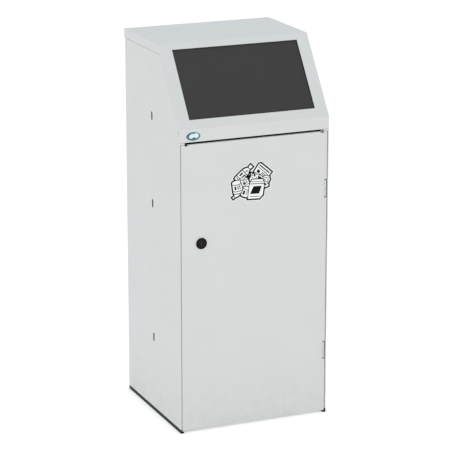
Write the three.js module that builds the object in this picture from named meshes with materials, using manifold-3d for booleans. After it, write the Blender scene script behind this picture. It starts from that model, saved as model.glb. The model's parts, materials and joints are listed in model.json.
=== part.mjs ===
// A free-standing collector cabinet for recyclable waste, folded from sheet steel.
// A sprung flap closes the inlet in the sloping hood, an inset door with a cam lock
// closes the front, and a lift-out liner with two bail handles stands inside.
// Millimetres. X runs across, Y from front (-) to back (+), Z up. The origin lies on
// the floor under the middle of the cabinet.

import * as THREE from 'three';
import { mergeVertices } from 'three/addons/utils/BufferGeometryUtils.js';
import Module from 'manifold-3d';

const wasm = await Module();
wasm.setup();
const { Manifold, Mesh } = wasm;

// ---- overall sizes --------------------------------------------------------------
const width = 390;
const bodyDepth = 360;
const height = 940;
const sheet = 1.5; // steel sheet of the cabinet
const hoodRise = 182; // height of the sloping face
const topDepth = 229; // flat top, from the back edge to the bend
const skidHeight = 9.7;
const skidWidth = 8;
const skidRebateGap = 1; // under the door's bottom edge
const touchGap = 0.3; // between pieces that meet on a slope or a curve
const seamGap = 0.5; // open seam between hood and side panels

// ---- hood -----------------------------------------------------------------------
const fasciaHeight = 31; // upright strip between the slope and the door
const lipHeight = 23; // hood edge folded down over the sides and the back
const bendRadius = 3;
const fasciaReturn = 16;
const inletSideMargin = 31.5;
const inletTopMargin = 17;
const inletFootMargin = 24;

// ---- side panels ----------------------------------------------------------------
const rearBendRadius = 8;
const rearReturn = 28;
const hemThickness = 2.5;
const cornerTab = 14; // width of the tabs that close the ends of the gap above the door
const cornerTabGap = 0.8;
const stopGap = 2.5; // between the closed door's back edge and the stop strips
const stopWidth = 16;
const footFlange = 18;
const edgeFlange = 10;
const slotLength = 22;
const slotWidth = 9;
const slotSetback = 177; // from the front plane
const slotHeights = [194, 538, 757];
const reliefSetback = 8;
const reliefDrop = 8; // below the foot of the slope
const reliefSize = 3.5;

// ---- floor pan ------------------------------------------------------------------
const panCorner = 10;
const sillHeight = 15;

// ---- door -----------------------------------------------------------------------
const doorFloorGap = 5;
const doorTopGap = 5.5;
const doorSideGap = 1.5;
const doorDepth = 7;
const doorLip = 12;
const doorReliefWidth = 8; // relief notches at the ends of the door's top fold
const doorReliefDepth = 3.5;
const stiffenerWidth = 50;
const stiffenerDepth = 7.5;
const stiffenerEndGap = 35;
const stopPadRadius = 4;
const stopPadGap = 0.3;
const stopPadInset = 90; // from the door's top and bottom edges

// ---- hinges ---------------------------------------------------------------------
const barrelRadius = 3;
const hingeInset = 4; // pin axis, inwards from the door's edge
const barrelHeight = 20.5;
const barrelGap = 0.5; // between the two barrels of a hinge
const hingePinRadius = 1.5;
const hingePinClearance = 0.08;
const hingeNotchGap = 2.4;
const hingeNotchReach = 3.2;
const leafThickness = 2;
const doorLeafReach = 30;
const upperHingeDrop = 142.5; // hinge centre below the door's top edge
const lowerHingeRise = 159.5; // hinge centre above the door's bottom edge

// ---- lock -----------------------------------------------------------------------
const lockInset = 51.5; // lock axis, inwards from the door's edge
const lockDrop = 245; // lock axis below the door's top edge
const lockProud = 3;
const rosetteRadius = 14;
const lockBodyRadius = 11;
const lockBodyRest = 0.6; // lock body past the back of the stop strips
const plugRadius = 8.6;
const plugClearance = 0.2;
const plugRecess = 0.5; // plug face below the rosette's face
const keySlotLength = 7.5;
const keySlotWidth = 2.2;
const keySlotDepth = 4;
const camThickness = 2;
const camWidth = 15;
const camClearance = 1.5; // behind the stop strips
const camOverlap = 9; // on the stop strip when locked
const camScrewRadius = 3;
const camScrewGrip = 6;
const camScrewHead = 3.5;
const lockNutAcross = 28;
const lockNutThickness = 4;

// ---- pictogram label and badge --------------------------------------------------
const labelWidth = 120;
const labelHeight = 101;
const labelShift = -8.5;
const labelDrop = 105; // centre below the door's top edge
const labelThickness = 0.4;
const badgeLength = 35;
const badgeHeight = 20;
const badgeThickness = 1.6;
const badgeInset = 35.5;
const badgeDrop = 17; // centre below the foot of the slope

// ---- inlet flap -----------------------------------------------------------------
const flapOverlap = 9; // past the inlet's sides
const flapFootOverlap = 10;
const flapSetback = 3.5; // flap face behind the hood's face
const flapSheet = 1.5;
const flapRim = 9;
const pivotRise = 12; // pivot axis past the inlet's top edge
const pivotDepth = 9.2; // pivot axis behind the hood's face
const rodRadius = 3;
const rodClearance = 0.3;
const sleeveRadius = 6.4;
const sleeveEdgeGap = 9; // from the pivot axis to the flap's top edge
const innerSleeve = 40; // half length of the middle sleeve
const outerSleeveStart = 100;
const earThickness = 2;
const earGap = 6.5; // from the flap's side to the bracket ear
const earReach = 10; // of the bracket ear, behind and below the pivot axis
const earFootThickness = 1.2;
const springCoilRadius = 5.6;
const springStart = 62;
const springLength = 26;
const springLegLength = 55;
const springLegRadius = 1;
const collarRadius = 6;
const collarLength = 8;
const collarGap = 0.6;
const padRadius = 4;

// ---- liner ----------------------------------------------------------------------
const linerWall = 1.2;
const linerSideGap = 25; // to the inside of the side panels
const linerFrontGap = 11; // behind the stop strips
const linerBackGap = 15; // to the rear panel
const linerHeadroom = 60; // below the door's top edge
const linerRimWidth = 5;
const linerRimHeight = 6;
const handleSpan = 100;
const handleDrop = 45;
const handleWireRadius = 2.5;
const handlePivotDrop = 13; // pivot axis below the liner's rim
const handlePivotReach = 8; // pivot axis from the liner's wall
const handleEndLength = 9;
const handleHoleClearance = 0.25;
const bracketThickness = 1.5;
const bracketHeight = 18;
const bracketEarGap = 1.2;

// ---- derived places -------------------------------------------------------------
const halfWidth = width / 2;
const frontY = -(bodyDepth + lockProud) / 2 + lockProud;
const backY = frontY + bodyDepth;
const slopeFoot = height - hoodRise;
const slopeRun = bodyDepth - topDepth;
const slopeLength = Math.hypot(slopeRun, hoodRise);
const along = [slopeRun / slopeLength, hoodRise / slopeLength]; // up the slope, in Y and Z
const inward = [along[1], -along[0]];
const fasciaFoot = slopeFoot - fasciaHeight;
const lipFoot = height - lipHeight;
const sideTop = lipFoot - seamGap;
const hoodClear = sheet + touchGap;
const doorTop = fasciaFoot - doorTopGap;
const doorHalf = halfWidth - hemThickness - doorSideGap;
const stopSetback = doorDepth + stopGap;
const stopFront = frontY + stopSetback;
const stopBack = stopFront + sheet;
const panFloor = skidHeight + 2 * sheet;
const panFront = stopBack + touchGap;
const rearInside = backY - 2 * sheet;
const hingeX = doorHalf - hingeInset;
const hingeY = frontY + barrelRadius;
const hingeHeights = { upper: doorTop - upperHingeDrop, lower: doorFloorGap + lowerHingeRise };
const hingeHalf = barrelHeight + barrelGap / 2;
const lockX = -doorHalf + lockInset;
const lockZ = doorTop - lockDrop;
const camFront = stopBack + camClearance;
const camReach = halfWidth - sheet - stopWidth + lockX + camOverlap;
const inletHalf = halfWidth - inletSideMargin;
const inletTop = slopeLength - inletTopMargin;
const pivotAlong = inletTop + pivotRise;
const flapHalf = inletHalf + flapOverlap;
const flapFoot = inletFootMargin - flapFootOverlap;
const flapBack = flapSetback + flapSheet;
const flapTop = pivotAlong - sleeveEdgeGap;
const earInner = flapHalf + earGap;
const linerHalf = halfWidth - sheet - linerSideGap;
const linerFront = stopBack + linerFrontGap;
const linerBack = rearInside - linerBackGap;
const linerMiddle = (linerFront + linerBack) / 2;
const linerTop = doorTop - linerHeadroom;
const pivotZ = linerTop - handlePivotDrop;
const pivotX = linerHalf - linerWall - handlePivotReach;

// ---- materials ------------------------------------------------------------------
function finish(color, roughness, metalness) {
  return () => new THREE.MeshStandardMaterial({ color, roughness, metalness });
}
const lightGrey = finish(0xd4d6d3, 0.45, 0.0);
const anthracite = finish(0x3f3e3d, 0.4, 0.0);
const blackPlastic = finish(0x17181a, 0.5, 0.0);
const blackRubber = finish(0x1c1c1c, 0.85, 0.0);
const blackNickel = finish(0x585858, 0.35, 0.9);
const zinc = finish(0xaab0b3, 0.45, 0.85);
const whiteNylon = finish(0xe4e2da, 0.5, 0.0);
const whiteFilm = finish(0xf2f3f1, 0.45, 0.0);
const teal = finish(0x1c8f96, 0.3, 0.0);

// ---- solids ---------------------------------------------------------------------
function solid(geometry) {
  const bare = geometry.clone();
  bare.deleteAttribute('normal');
  bare.deleteAttribute('uv');
  const merged = mergeVertices(bare, 1e-4);
  return new Manifold(new Mesh({
    numProp: 3,
    vertProperties: new Float32Array(merged.attributes.position.array),
    triVerts: new Uint32Array(merged.index.array),
  }));
}

function box([x0, x1], [y0, y1], [z0, z1]) {
  const geometry = new THREE.BoxGeometry(x1 - x0, y1 - y0, z1 - z0);
  geometry.translate((x0 + x1) / 2, (y0 + y1) / 2, (z0 + z1) / 2);
  return solid(geometry);
}

// Extrudes an outline along one axis. The outline is given in the other two axes, in
// the order Y Z for x, X Z for y, and X Y for z.
const extrudeBasis = {
  x: [new THREE.Vector3(0, 1, 0), new THREE.Vector3(0, 0, 1), new THREE.Vector3(1, 0, 0)],
  y: [new THREE.Vector3(1, 0, 0), new THREE.Vector3(0, 0, 1), new THREE.Vector3(0, -1, 0)],
  z: [new THREE.Vector3(1, 0, 0), new THREE.Vector3(0, 1, 0), new THREE.Vector3(0, 0, 1)],
};

function prism(axis, outline, [from, to]) {
  const shape = new THREE.Shape(outline.map(([a, b]) => new THREE.Vector2(a, b)));
  const geometry = new THREE.ExtrudeGeometry(shape, { depth: to - from, bevelEnabled: false });
  geometry.applyMatrix4(new THREE.Matrix4().makeBasis(...extrudeBasis[axis]));
  geometry.translate(axis === 'x' ? from : 0, axis === 'y' ? to : 0, axis === 'z' ? from : 0);
  return solid(geometry);
}

// A round bar between two points.
function bar(start, end, radius, sides = 16) {
  const from = new THREE.Vector3(...start);
  const to = new THREE.Vector3(...end);
  const geometry = new THREE.CylinderGeometry(radius, radius, from.distanceTo(to), sides);
  const turn = new THREE.Quaternion().setFromUnitVectors(
    new THREE.Vector3(0, 1, 0), to.clone().sub(from).normalize());
  geometry.applyQuaternion(turn);
  geometry.translate(...from.add(to).multiplyScalar(0.5).toArray());
  return solid(geometry);
}

// The radius of a faceted hole whose flats stay clear of a round bar.
const holeRadius = (radius, clearance, sides = 16) => (radius + clearance) / Math.cos(Math.PI / sides);

function tube(start, end, outer, inner, sides = 16) {
  const reach = new THREE.Vector3(...end).sub(new THREE.Vector3(...start)).normalize();
  const before = new THREE.Vector3(...start).sub(reach).toArray();
  const after = new THREE.Vector3(...end).add(reach).toArray();
  return bar(start, end, outer, sides).subtract(bar(before, after, inner, sides));
}

// A wire through the given points, with round elbows.
function wire(points, radius, sides = 10) {
  let joined = null;
  points.slice(1).forEach((point, i) => {
    const run = bar(points[i], point, radius, sides);
    joined = joined ? joined.add(run) : run;
    if (i > 0) {
      const elbow = new THREE.SphereGeometry(radius, sides, 6);
      elbow.translate(...points[i]);
      joined = joined.add(solid(elbow));
    }
  });
  return joined;
}

// Rounds the inner corners of an open line, each with an arc of the given radius.
function roundCorners(points, radius, steps = 5) {
  const rounded = [points[0]];
  for (let i = 1; i < points.length - 1; i++) {
    const corner = new THREE.Vector2(...points[i]);
    const back = new THREE.Vector2(...points[i - 1]).sub(corner).normalize();
    const ahead = new THREE.Vector2(...points[i + 1]).sub(corner).normalize();
    const half = Math.acos(back.dot(ahead)) / 2;
    const centre = corner.clone().add(
      back.clone().add(ahead).normalize().multiplyScalar(radius / Math.sin(half)));
    const start = corner.clone().addScaledVector(back, radius / Math.tan(half)).sub(centre);
    const end = corner.clone().addScaledVector(ahead, radius / Math.tan(half)).sub(centre);
    const sweep = Math.atan2(start.cross(end), start.dot(end));
    for (let k = 0; k <= steps; k++) {
      const point = start.clone().rotateAround(new THREE.Vector2(), (sweep * k) / steps);
      rounded.push(point.add(centre).toArray());
    }
  }
  return [...rounded, points[points.length - 1]];
}

// The outline of a sheet folded along an open line, thickened to the line's right.
function foldedSheet(line, thickness) {
  const directions = line.slice(1).map((p, i) =>
    new THREE.Vector2(p[0] - line[i][0], p[1] - line[i][1]).normalize());
  const inner = line.map((p, i) => {
    const before = directions[Math.max(i - 1, 0)];
    const after = directions[Math.min(i, directions.length - 1)];
    const right = new THREE.Vector2(before.y + after.y, -before.x - after.x).normalize();
    const reach = thickness / right.dot(new THREE.Vector2(before.y, -before.x));
    return [p[0] + right.x * reach, p[1] + right.y * reach];
  });
  return [...line, ...inner.reverse()];
}

const join = (...solids) => Manifold.union(solids);

// ---- places on the slope --------------------------------------------------------
// A point in Y and Z, so far up the slope and so deep behind the hood's face.
function onSlope(up, deep) {
  return [
    frontY + up * along[0] + deep * inward[0],
    slopeFoot + up * along[1] + deep * inward[1],
  ];
}
function slopeAtY(y, deep) {
  return onSlope((y - frontY - deep * inward[0]) / along[0], deep);
}
function slopeAtZ(z, deep) {
  return onSlope((z - slopeFoot - deep * inward[1]) / along[1], deep);
}
// A block on the slope: across, up the slope and behind its face.
function slopeBlock(across, [up0, up1], [deep0, deep1]) {
  return prism('x', [
    onSlope(up0, deep0), onSlope(up0, deep1), onSlope(up1, deep1), onSlope(up1, deep0),
  ], across);
}
// A plate on the slope, from its outline across and up the slope.
function slopePlate(outline, [deep0, deep1]) {
  const shape = new THREE.Shape(outline.map(([x, up]) => new THREE.Vector2(x, up)));
  const geometry = new THREE.ExtrudeGeometry(shape, { depth: deep1 - deep0, bevelEnabled: false });
  geometry.applyMatrix4(new THREE.Matrix4().makeBasis(
    new THREE.Vector3(1, 0, 0), new THREE.Vector3(0, ...along),
    new THREE.Vector3(0, -inward[0], -inward[1])));
  geometry.translate(0, ...onSlope(0, deep1));
  return solid(geometry);
}
const pivot = onSlope(pivotAlong, pivotDepth);
const onPivot = (x) => [x, ...pivot];

// ---- the assembly ---------------------------------------------------------------
const cabinet = new THREE.Group();

function add(name, shape, material) {
  const { vertProperties, triVerts, numProp } = shape.getMesh();
  const positions = new Float32Array((vertProperties.length / numProp) * 3);
  for (let i = 0; i < positions.length; i++) {
    positions[i] = vertProperties[Math.floor(i / 3) * numProp + (i % 3)];
  }
  const geometry = new THREE.BufferGeometry();
  geometry.setAttribute('position', new THREE.BufferAttribute(positions, 3));
  geometry.setIndex(new THREE.BufferAttribute(new Uint32Array(triVerts), 1));
  geometry.computeVertexNormals();
  const mesh = new THREE.Mesh(geometry, material());
  mesh.name = name;
  cabinet.add(mesh);
}

// The left piece of a pair is drawn, and the right one is its mirror image.
function addPair(name, leftShape, material) {
  add(`left_${name}`, leftShape, material);
  add(`right_${name}`, leftShape.mirror([1, 0, 0]), material);
}

// ---- cabinet --------------------------------------------------------------------
function hood() {
  const line = roundCorners([
    [frontY, fasciaFoot], [frontY, slopeFoot], [backY - topDepth, height],
    [backY, height], [backY, lipFoot],
  ], bendRadius);
  const cover = prism('x', foldedSheet(line, sheet), [-halfWidth, halfWidth]);
  const cheeks = prism('x', line, [-halfWidth, halfWidth])
    .subtract(box([-halfWidth + sheet, halfWidth - sheet], [frontY, backY + 1], [0, height]))
    .intersect(box([-width, width], [frontY, backY + 1], [lipFoot, height]));
  const inside = halfWidth - sheet - touchGap;
  const foot = box([-inside, inside], [frontY + sheet / 2, frontY + fasciaReturn],
    [fasciaFoot, fasciaFoot + sheet]);
  const inlet = slopeBlock([-inletHalf, inletHalf], [inletFootMargin, inletTop], [-1, sheet + 1]);
  return join(cover, cheeks, foot).subtract(inlet);
}

function sideSlot(z) {
  const y = frontY + slotSetback;
  const radius = slotWidth / 2;
  const steps = 6;
  const outline = [];
  for (const [side, start] of [[1, 0], [-1, Math.PI]]) {
    const centre = z + side * (slotLength / 2 - radius);
    for (let i = 0; i <= steps; i++) {
      const angle = start + (Math.PI * i) / steps;
      outline.push([y + radius * Math.cos(angle), centre + radius * Math.sin(angle)]);
    }
  }
  return prism('x', outline, [-halfWidth - 1, -halfWidth + sheet + 1]);
}

function sidePanel() {
  const edge = [
    [frontY + hoodClear, fasciaFoot + 2 * sheet], slopeAtY(frontY + hoodClear, hoodClear),
    slopeAtZ(sideTop, hoodClear), [backY - rearBendRadius - 2, sideTop],
  ];
  const wall = prism('x', [
    [frontY, skidHeight], [backY - rearBendRadius, skidHeight],
    [backY - rearBendRadius, sideTop], edge[2], edge[1],
    [frontY + hoodClear, fasciaFoot - seamGap], [frontY, fasciaFoot - seamGap],
  ], [-halfWidth, -halfWidth + sheet]);
  const rim = prism('x', foldedSheet(edge, sheet),
    [-halfWidth + sheet / 2, -halfWidth + sheet + edgeFlange]);
  const hem = box([-halfWidth, -halfWidth + hemThickness], [frontY, stopFront],
    [skidHeight, fasciaFoot - seamGap]);
  const tab = box([-halfWidth + sheet / 2, -halfWidth + cornerTab], [frontY, frontY + doorDepth],
    [doorTop + cornerTabGap, fasciaFoot - seamGap]);
  const foot = box([-halfWidth + sheet / 2, -halfWidth + sheet + footFlange],
    [panFront, rearInside - touchGap], [skidHeight, skidHeight + sheet]);
  const bend = roundCorners([
    [-halfWidth, backY - rearBendRadius - 1], [-halfWidth, backY],
    [-halfWidth + rearReturn, backY],
  ], rearBendRadius);
  const rear = prism('z', foldedSheet(bend, sheet), [skidHeight, sideTop]);
  const relief = box([-halfWidth - 1, -halfWidth + sheet],
    [frontY + reliefSetback - reliefSize / 2, frontY + reliefSetback + reliefSize / 2],
    [slopeFoot - reliefDrop - reliefSize / 2, slopeFoot - reliefDrop + reliefSize / 2]);
  return join(wall, rim, hem, tab, foot, rear)
    .subtract(join(relief, ...slotHeights.map(sideSlot)));
}

// A flat strip welded upright inside the side panel. The door closes towards it, and
// the lock's cam turns behind it.
function doorStop() {
  return box([-halfWidth + sheet, -halfWidth + sheet + stopWidth], [stopFront, stopBack],
    [skidHeight, fasciaFoot - seamGap]);
}

function baseSkid() {
  const outline = roundCorners([
    [-halfWidth + skidWidth, backY], [-halfWidth, backY], [-halfWidth, frontY],
  ], rearBendRadius - 0.01);
  const strip = prism('z', [...outline, [-halfWidth + skidWidth, frontY]], [0, skidHeight]);
  // A rebate under the door's bottom corner leaves room for the door to swing.
  const rebate = box([-doorHalf - doorSideGap, 0], [frontY - 1, stopFront],
    [doorFloorGap - skidRebateGap, skidHeight + 1]);
  return strip.subtract(rebate);
}

function floorPan() {
  const side = halfWidth - sheet - touchGap;
  const back = rearInside - touchGap;
  const plate = prism('z', [
    [-side, panFront], [side, panFront], [side, back - panCorner], [side - panCorner, back],
    [-side + panCorner, back], [-side, back - panCorner],
  ], [panFloor - sheet, panFloor]);
  const sill = box([-side, side], [panFront, panFront + sheet],
    [panFloor - sheet / 2, panFloor + sillHeight]);
  return join(plate, sill);
}

function rearPanel() {
  const side = halfWidth - rearBendRadius - 1;
  return box([-side, side], [rearInside, rearInside + sheet], [skidHeight, height - 2 * lipHeight / 3]);
}

add('hood', hood(), lightGrey);
addPair('side_panel', sidePanel(), lightGrey);
addPair('door_stop', doorStop(), lightGrey);
add('rear_panel', rearPanel(), lightGrey);
add('floor_pan', floorPan(), lightGrey);
addPair('base_skid', baseSkid(), blackPlastic);

// ---- door -----------------------------------------------------------------------
function doorPanel() {
  const inner = doorHalf - sheet;
  const window = inner - doorLip;
  const back = frontY + doorDepth;
  const pan = box([-doorHalf, doorHalf], [frontY, back], [doorFloorGap, doorTop]);
  const hollow = box([-inner, inner], [frontY + sheet, back - sheet],
    [doorFloorGap + sheet, doorTop - sheet]);
  const open = box([-window, window], [frontY + sheet, back + 1],
    [doorFloorGap + sheet + doorLip, doorTop - sheet - doorLip]);
  const notches = Object.values(hingeHeights).map((z) =>
    box([hingeX - hingeNotchReach, doorHalf + 1], [frontY - 1, back + 1],
      [z - hingeHalf - hingeNotchGap, z + hingeHalf + hingeNotchGap]));
  const reliefs = [-1, 1].map((side) => {
    const ends = [halfWidth - cornerTab - doorReliefWidth, halfWidth - cornerTab];
    const across = side < 0 ? ends.map((x) => -x).reverse() : ends;
    return box(across, [frontY - 1, back + 1], [doorTop - doorReliefDepth, doorTop + 1]);
  });
  const lockHole = bar([lockX, frontY - 1, lockZ], [lockX, back + 1, lockZ],
    holeRadius(lockBodyRadius, 0.3, 32), 32);
  return pan.subtract(join(hollow, open, lockHole, ...notches, ...reliefs));
}

function doorStiffener() {
  const front = frontY + sheet;
  const z = [doorFloorGap + stiffenerEndGap, doorTop - stiffenerEndGap];
  const half = stiffenerWidth / 2;
  const channel = box([-half, half], [front, front + stiffenerDepth], z);
  const groove = box([-half + sheet, half - sheet], [front - 1, front + stiffenerDepth - sheet],
    [z[0] - 1, z[1] + 1]);
  const flange = (x0, x1) => box([x0, x1], [front, front + sheet], z);
  return join(channel.subtract(groove), flange(-half - doorLip, -half + sheet / 2),
    flange(half - sheet / 2, half + doorLip));
}

// The lower barrel belongs to the cabinet and carries the pin. The door's barrel sits
// on it from above.
function cabinetLeaf(z) {
  const bore = hingePinRadius + 0.02;
  const barrel = tube([hingeX, hingeY, z - hingeHalf], [hingeX, hingeY, z - barrelGap / 2],
    barrelRadius, holeRadius(bore, 0, 24), 24);
  const neck = box([hingeX - barrelRadius / 2, hingeX + barrelRadius / 2],
    [hingeY + 2 * barrelRadius / 3, stopFront - leafThickness / 2], [z - hingeHalf, z - barrelGap / 2]);
  const leaf = box([hingeX - 2 * hingeInset, doorHalf], [stopFront - leafThickness, stopFront],
    [z - hingeHalf, z + hingeHalf]);
  return join(barrel, neck, leaf);
}

function doorLeaf(z) {
  const barrel = tube([hingeX, hingeY, z + barrelGap / 2], [hingeX, hingeY, z + hingeHalf],
    barrelRadius, holeRadius(hingePinRadius, hingePinClearance, 24), 24);
  const leaf = box([hingeX - doorLeafReach, hingeX - 2 * barrelRadius / 3],
    [frontY + sheet, frontY + sheet + leafThickness], [z + barrelGap / 2, z + hingeHalf]);
  return join(barrel, leaf);
}

function hingePin(z) {
  return bar([hingeX, hingeY, z - hingeHalf], [hingeX, hingeY, z + hingeHalf],
    hingePinRadius, 24);
}

// A small rubber dome on the stop strip.
function doorPad(z) {
  const profile = [[0, 0], [stopPadRadius, 0], [0.8 * stopPadRadius, 0.7], [0, 1]];
  const thickness = stopSetback - doorDepth - stopPadGap;
  const geometry = new THREE.LatheGeometry(
    profile.map(([r, y]) => new THREE.Vector2(r, y * thickness)), 12);
  geometry.rotateX(Math.PI);
  geometry.translate(-halfWidth + sheet + stopWidth / 2, stopFront, z);
  return solid(geometry);
}

add('door_panel', doorPanel(), lightGrey);
add('door_stiffener', doorStiffener(), lightGrey);
for (const [place, z] of Object.entries(hingeHeights)) {
  add(`${place}_hinge_cabinet_leaf`, cabinetLeaf(z), lightGrey);
  add(`${place}_hinge_door_leaf`, doorLeaf(z), lightGrey);
  add(`${place}_hinge_pin`, hingePin(z), zinc);
}
add('upper_door_pad', doorPad(doorTop - stopPadInset), blackRubber);
add('lower_door_pad', doorPad(doorFloorGap + stopPadInset), blackRubber);

// ---- lock -----------------------------------------------------------------------
// Depths along the lock's axis are counted from the door's front plane.
const atLock = (x, deep, z) => [lockX + x, frontY + deep, lockZ + z];

function lockRosette() {
  const bore = holeRadius(plugRadius, plugClearance, 32);
  const end = stopSetback + sheet + lockBodyRest;
  const profile = [
    [bore, -lockProud], [rosetteRadius - 2, -lockProud], [rosetteRadius - 0.6, -lockProud + 0.8],
    [rosetteRadius, 0], [lockBodyRadius, 0], [lockBodyRadius, end], [bore, end],
    [bore, -lockProud],
  ];
  const geometry = new THREE.LatheGeometry(
    profile.map(([r, y]) => new THREE.Vector2(r, y)), 32);
  geometry.translate(lockX, frontY, lockZ);
  return solid(geometry);
}

function lockNut() {
  const nut = bar(atLock(0, sheet, 0), atLock(0, sheet + lockNutThickness, 0),
    lockNutAcross / Math.sqrt(3), 6);
  return nut.subtract(bar(atLock(0, 0, 0), atLock(0, 2 * lockNutThickness, 0),
    holeRadius(lockBodyRadius, 0.3, 32), 32));
}

function lockPlug() {
  const face = -lockProud + plugRecess;
  const end = stopSetback + sheet + camClearance;
  const plug = bar(atLock(0, face, 0), atLock(0, end, 0), plugRadius, 32);
  const keySlot = box([lockX - keySlotWidth / 2, lockX + keySlotWidth / 2],
    [frontY + face - 1, frontY + face + keySlotDepth],
    [lockZ - keySlotLength / 2, lockZ + keySlotLength / 2]);
  const screwHole = bar(atLock(0, end - camScrewGrip - 1, 0), atLock(0, end + 1, 0),
    camScrewRadius + 0.3);
  return plug.subtract(join(keySlot, screwHole));
}

// Unlocked, the cam hangs down. A quarter turn takes it behind the stop strip.
function lockCam() {
  const y = [camFront, camFront + camThickness];
  const hub = bar([lockX, y[0], lockZ], [lockX, y[1], lockZ], camWidth / 2 + 1, 24);
  const arm = box([lockX - camWidth / 2, lockX + camWidth / 2], y, [lockZ - camReach, lockZ]);
  const hole = bar([lockX, y[0] - 1, lockZ], [lockX, y[1] + 1, lockZ], camScrewRadius + 0.3);
  return join(hub, arm).subtract(hole);
}

function camScrew() {
  const back = camFront + camThickness;
  const shank = bar([lockX, camFront - camScrewGrip, lockZ], [lockX, back + 1, lockZ], camScrewRadius);
  const head = bar([lockX, back, lockZ], [lockX, back + camScrewHead, lockZ],
    2 * camScrewRadius, 6);
  return join(shank, head);
}

add('lock_rosette', lockRosette(), blackPlastic);
add('lock_nut', lockNut(), zinc);
add('lock_plug', lockPlug(), blackNickel);
add('lock_cam', lockCam(), zinc);
add('lock_cam_screw', camScrew(), zinc);

// ---- label and badge ------------------------------------------------------------
function oval(x, z, length, tall, [y0, y1], sides) {
  const outline = Array.from({ length: sides }, (_, i) => {
    const angle = (2 * Math.PI * i) / sides;
    return [x + (length / 2) * Math.cos(angle), z + (tall / 2) * Math.sin(angle)];
  });
  return prism('y', outline, [y0, y1]);
}

function pictogramLabel() {
  const z = doorTop - labelDrop;
  return box([labelShift - labelWidth / 2, labelShift + labelWidth / 2],
    [frontY - labelThickness, frontY], [z - labelHeight / 2, z + labelHeight / 2]);
}

add('pictogram_label', pictogramLabel(), whiteFilm);
add('oval_badge', oval(-halfWidth + badgeInset, slopeFoot - badgeDrop, badgeLength,
  badgeHeight, [frontY - badgeThickness, frontY], 32), teal);

// ---- inlet flap and its pivot ---------------------------------------------------
// A tray with three sleeves rolled round the pivot rod along its top edge.
function inletFlap() {
  const sides = 20;
  const rimBack = flapBack + flapRim;
  const rimTop = flapTop - sleeveEdgeGap;
  const inner = flapHalf - flapSheet;
  const past = flapHalf + 1;
  const spans = [[-flapHalf, -outerSleeveStart], [-innerSleeve, innerSleeve],
    [outerSleeveStart, flapHalf]];
  const tongues = spans.flatMap(([x0, x1]) =>
    [[x0, flapTop], [x0, pivotAlong], [x1, pivotAlong], [x1, flapTop]]).slice(1, -1);
  const tray = slopePlate([[-flapHalf, flapFoot], ...tongues, [flapHalf, flapFoot]],
    [flapSetback, rimBack]);
  const hollow = slopePlate([
    [-inner, flapFoot + flapSheet], [inner, flapFoot + flapSheet], [inner, rimTop],
    [past, rimTop], [past, pivotAlong + 1], [-past, pivotAlong + 1], [-past, rimTop],
    [-inner, rimTop],
  ], [flapBack, rimBack + 1]);
  const sleeves = spans.map(([x0, x1]) => bar(onPivot(x0), onPivot(x1), sleeveRadius, sides));
  return join(tray.subtract(hollow), ...sleeves)
    .subtract(bar(onPivot(-width), onPivot(width), holeRadius(rodRadius, rodClearance, sides), sides));
}

function pivotRod() {
  const half = earInner + earThickness + 1;
  return bar(onPivot(-half), onPivot(half), rodRadius, 20);
}

// Hangs from the underside of the flat top and holds the rod's end.
function pivotBracket() {
  const outer = -earInner - earThickness;
  const [y, z] = pivot;
  const top = height - hoodClear;
  const front = slopeAtZ(top, hoodClear + bendRadius);
  const ear = prism('x', [
    slopeAtZ(z - earReach, hoodClear), [y + earReach, z - earReach], [y + earReach, top], front,
  ], [outer, -earInner]);
  const foot = box([outer, -flapHalf - touchGap], [front[0], y + earReach],
    [top - earFootThickness, top]);
  return join(ear, foot)
    .subtract(bar(onPivot(-width), onPivot(0), holeRadius(rodRadius, 0.1, 20), 20));
}

function pivotBush() {
  return tube(onPivot(-earInner + touchGap), onPivot(-flapHalf - touchGap), 5,
    holeRadius(rodRadius, 0.2, 20), 20);
}

// The coils are wound round the rod, and the leg lies along the back of the flap.
function torsionSpring() {
  const coil = tube(onPivot(-springStart - springLength), onPivot(-springStart),
    springCoilRadius, holeRadius(rodRadius, 0.6, 20), 20);
  const deep = flapBack + touchGap + springLegRadius;
  const x = -springStart - springLegRadius - 0.5;
  const leg = bar([x, ...onSlope(pivotAlong - springLegLength, deep)],
    [x, ...onSlope(pivotAlong - 4, deep)], springLegRadius, 8);
  return join(coil, leg);
}

function springCollar() {
  const end = -springStart - springLength - collarGap;
  return tube(onPivot(end - collarLength), onPivot(end), collarRadius,
    holeRadius(rodRadius, 0.05, 20), 20);
}

function flapPad() {
  const up = (flapFoot + inletFootMargin) / 2;
  const x = -(inletHalf + flapHalf) / 2;
  return bar([x, ...onSlope(up, hoodClear)], [x, ...onSlope(up, flapSetback - touchGap)],
    padRadius, 12);
}

add('inlet_flap', inletFlap(), anthracite);
add('flap_pivot_rod', pivotRod(), zinc);
addPair('pivot_bracket', pivotBracket(), lightGrey);
addPair('pivot_bush', pivotBush(), whiteNylon);
addPair('flap_spring', torsionSpring(), zinc);
addPair('spring_collar', springCollar(), zinc);
addPair('flap_pad', flapPad(), blackRubber);

// ---- liner ----------------------------------------------------------------------
function wasteLiner() {
  const grow = linerRimWidth;
  const shell = box([-linerHalf, linerHalf], [linerFront, linerBack], [panFloor, linerTop]);
  const rim = box([-linerHalf - grow, linerHalf + grow], [linerFront - grow, linerBack + grow],
    [linerTop - linerRimHeight, linerTop]);
  const hollow = box([-linerHalf + linerWall, linerHalf - linerWall],
    [linerFront + linerWall, linerBack - linerWall], [panFloor + linerWall, linerTop + 1]);
  const groove = box([-linerHalf - grow + linerWall, linerHalf + grow - linerWall],
    [linerFront - grow + linerWall, linerBack + grow - linerWall],
    [linerTop - linerRimHeight - 1, linerTop - linerWall])
    .subtract(box([-linerHalf, linerHalf], [linerFront, linerBack], [0, linerTop]));
  return join(shell, rim).subtract(hollow).subtract(groove);
}

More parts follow.
